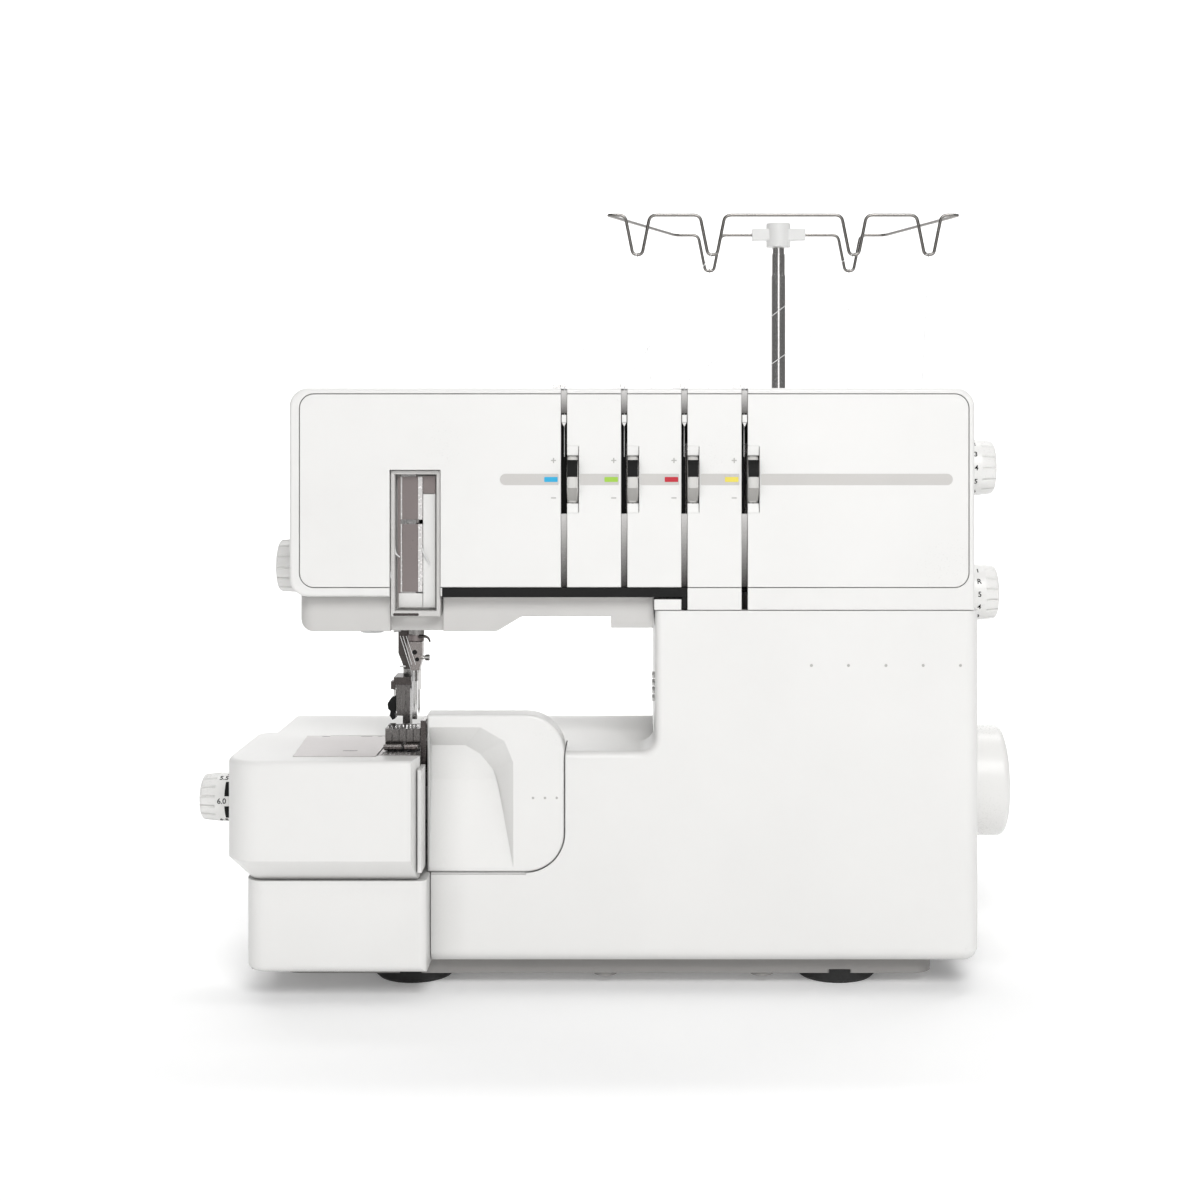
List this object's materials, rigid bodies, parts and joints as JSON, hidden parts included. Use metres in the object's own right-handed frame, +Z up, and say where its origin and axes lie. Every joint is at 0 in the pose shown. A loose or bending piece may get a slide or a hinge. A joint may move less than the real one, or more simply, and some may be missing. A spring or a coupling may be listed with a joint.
{
  "type": "serger overlock machine",
  "caption": "Household overlock sewing machine with side handwheel, thumbwheel thread tensions, swing-out cloth table, front looper door and telescopic thread stand.",
  "frame": {"origin": "centre of the machine's bounding box at the underside of the rubber feet", "axes": "+X to the operator's right, along the longest side; +Y away from the operator, to the rear; +Z up"},
  "size_m": [0.344, 0.285, 0.334],
  "materials": {
    "shell_white": "smooth",
    "cover_white": "smooth",
    "underside_grey": "satin",
    "base_grey": "fine texture",
    "rubber_black": "matt",
    "plate_steel": "brushed",
    "steel": "ground",
    "chrome": "bright",
    "frame_alloy": "as cast",
    "black_plastic": "fine texture",
    "knob_white": "satin",
    "dial_grey": "satin",
    "lens": "frosted",
    "belt_rubber": "matt",
    "motor_steel": "satin",
    "tray_white": "satin",
    "thread": "twisted",
    "pin_grey": "satin",
    "clamp_white": "smooth",
    "switch_black": "smooth"
  },
  "bodies": {
    "machine": {"base_plate": "base_grey", "rubber_feet": "rubber_black", "front_casing": "shell_white", "rear_casing": "shell_white", "head_cover": "shell_white", "front_panel": "cover_white", "head_rear_cover": "shell_white", "arm_lower_cover": "underside_grey", "base_block": "shell_white", "rear_bed_cover": "shell_white", "needle_plate": "plate_steel", "chassis": "frame_alloy", "drive_belt": "belt_rubber", "motor": "motor_steel", "lower_knife": "steel", "tension_unit": "steel", "thread_channels": "black_plastic", "face_thread_guides": "chrome", "take_up_window": "underside_grey", "lamp_lens": "lens", "spool_tray": "tray_white", "spool_pins": "pin_grey", "thread_cones": "thread", "threads": "thread", "mast_lower": "chrome", "inlet_and_switch": "black_plastic", "screws": "steel"},
    "drive": {"main_shaft": "steel", "handwheel": "knob_white", "main_pulley": "black_plastic"},
    "rotor": {"motor_rotor": "steel"},
    "cloth_table": {"cloth_plate": "shell_white", "cloth_plate_insert": "plate_steel"},
    "width_knob": {"cutting_width_knob": "knob_white"},
    "looper_door": {"looper_cover": "cover_white"},
    "main_feed": {"feed_dog_main": "steel"},
    "front_feed": {"feed_dog_differential": "steel"},
    "looper_low": {"lower_looper": "steel"},
    "looper_high": {"upper_looper": "steel"},
    "knife": {"upper_knife": "steel"},
    "needle_group": {"needle_bar": "steel", "needle_clamp": "steel", "needles": "chrome"},
    "presser": {"presser_bar": "steel", "presser_holder": "black_plastic"},
    "foot": {"presser_foot": "steel"},
    "lifter": {"lifter_lever": "chrome"},
    "dial_1": {"tension_dial_1": "dial_grey"},
    "dial_2": {"tension_dial_2": "dial_grey"},
    "dial_3": {"tension_dial_3": "dial_grey"},
    "dial_4": {"tension_dial_4": "dial_grey"},
    "feed_knob": {"differential_feed_knob": "knob_white"},
    "length_knob": {"stitch_length_knob": "knob_white"},
    "pressure_knob": {"foot_pressure_knob": "knob_white"},
    "mast_mid": {"mast_middle": "chrome"},
    "mast_head": {"mast_top": "chrome", "guide_clamp": "clamp_white", "thread_guide_wire": "chrome"},
    "rocker": {"power_rocker": "switch_black"}
  },
  "joints": [
    {"name": "handwheel_spin", "type": "hinge", "parent": "machine", "child": "drive", "pos_m": [0.1457, -0.034, 0.0673], "axis": [1, 0, 0], "continuous": true},
    {"name": "motor_spin", "type": "hinge", "parent": "machine", "child": "rotor", "pos_m": [0.1457, 0.035, 0.045], "axis": [1, 0, 0], "continuous": true},
    {"name": "cloth_plate_swing", "type": "hinge", "parent": "machine", "child": "cloth_table", "pos_m": [-0.1459, -0.0823, 0.07], "axis": [0, 0, -1], "range_deg": [0, 80]},
    {"name": "looper_cover_open", "type": "hinge", "parent": "machine", "child": "looper_door", "pos_m": [-0.048, -0.1225, 0.0479], "axis": [1, 0, 0], "range_deg": [0, 80]},
    {"name": "cutting_width_turn", "type": "hinge", "parent": "cloth_table", "child": "width_knob", "pos_m": [-0.1529, -0.0975, 0.073], "axis": [1, 0, 0], "range_deg": [-150, 150]},
    {"name": "main_feed_slide", "type": "slide", "parent": "machine", "child": "main_feed", "axis": [0, 1, 0], "range_m": [-0.0015, 0.0015]},
    {"name": "differential_feed_slide", "type": "slide", "parent": "machine", "child": "front_feed", "axis": [0, 1, 0], "range_m": [-0.0015, 0.0015]},
    {"name": "lower_looper_swing", "type": "hinge", "parent": "machine", "child": "looper_low", "pos_m": [-0.062, -0.1035, 0.042], "axis": [0, 1, 0], "range_deg": [-4, 5]},
    {"name": "upper_looper_swing", "type": "hinge", "parent": "machine", "child": "looper_high", "pos_m": [-0.036, -0.1035, 0.042], "axis": [0, 1, 0], "range_deg": [-6, 6]},
    {"name": "upper_knife_slide", "type": "slide", "parent": "machine", "child": "knife", "axis": [0, 0, 1], "range_m": [-0.004, 0.003]},
    {"name": "needle_bar_slide", "type": "slide", "parent": "machine", "child": "needle_group", "axis": [0, 0, 1], "range_m": [-0.019, 0.002]},
    {"name": "presser_lift", "type": "slide", "parent": "machine", "child": "presser", "axis": [0, 0, 1], "range_m": [0, 0.006]},
    {"name": "presser_foot_tilt", "type": "hinge", "parent": "presser", "child": "foot", "pos_m": [-0.0863, -0.0985, 0.107], "axis": [1, 0, 0], "range_deg": [-5, 0]},
    {"name": "presser_lever_turn", "type": "hinge", "parent": "machine", "child": "lifter", "pos_m": [-0.0863, -0.028, 0.178], "axis": [1, 0, 0], "range_deg": [0, 30]},
    {"name": "tension_dial_1_turn", "type": "hinge", "parent": "machine", "child": "dial_1", "pos_m": [-0.0173, -0.1132, 0.205], "axis": [1, 0, 0], "range_deg": [-160, 160]},
    {"name": "tension_dial_2_turn", "type": "hinge", "parent": "machine", "child": "dial_2", "pos_m": [0.0068, -0.1132, 0.205], "axis": [1, 0, 0], "range_deg": [-160, 160]},
    {"name": "tension_dial_3_turn", "type": "hinge", "parent": "machine", "child": "dial_3", "pos_m": [0.0309, -0.1132, 0.205], "axis": [1, 0, 0], "range_deg": [-160, 160]},
    {"name": "tension_dial_4_turn", "type": "hinge", "parent": "machine", "child": "dial_4", "pos_m": [0.055, -0.1132, 0.205], "axis": [1, 0, 0], "range_deg": [-160, 160]},
    {"name": "differential_feed_turn", "type": "hinge", "parent": "machine", "child": "feed_knob", "pos_m": [0.1457, -0.075, 0.2088], "axis": [1, 0, 0], "range_deg": [-120, 120]},
    {"name": "stitch_length_turn", "type": "hinge", "parent": "machine", "child": "length_knob", "pos_m": [0.1457, -0.075, 0.1556], "axis": [1, 0, 0], "range_deg": [-120, 120]},
    {"name": "foot_pressure_turn", "type": "hinge", "parent": "machine", "child": "pressure_knob", "pos_m": [-0.1307, -0.075, 0.167], "axis": [1, 0, 0], "range_deg": [-150, 150]},
    {"name": "mast_middle_slide", "type": "slide", "parent": "machine", "child": "mast_mid", "axis": [0, 0, 1], "range_m": [0, 0.13]},
    {"name": "mast_top_slide", "type": "slide", "parent": "machine", "child": "mast_head", "axis": [0, 0, 1], "range_m": [0, 0.26], "deforming": ["threads"]},
    {"name": "power_rocker_turn", "type": "hinge", "parent": "machine", "child": "rocker", "pos_m": [0.1421, 0.0485, 0.04], "axis": [0, 1, 0], "range_deg": [-6, 6]}
  ],
  "couplings": [
    {"joint": "motor_spin", "follows": "handwheel_spin", "ratio": 3.0541},
    {"joint": "presser_lift", "follows": "presser_lever_turn", "m_per_rad": 0.011459},
    {"joint": "mast_middle_slide", "follows": "mast_top_slide", "ratio": 0.5},
    {"joint": "differential_feed_slide", "follows": "main_feed_slide", "ratio": 1}
  ]
}
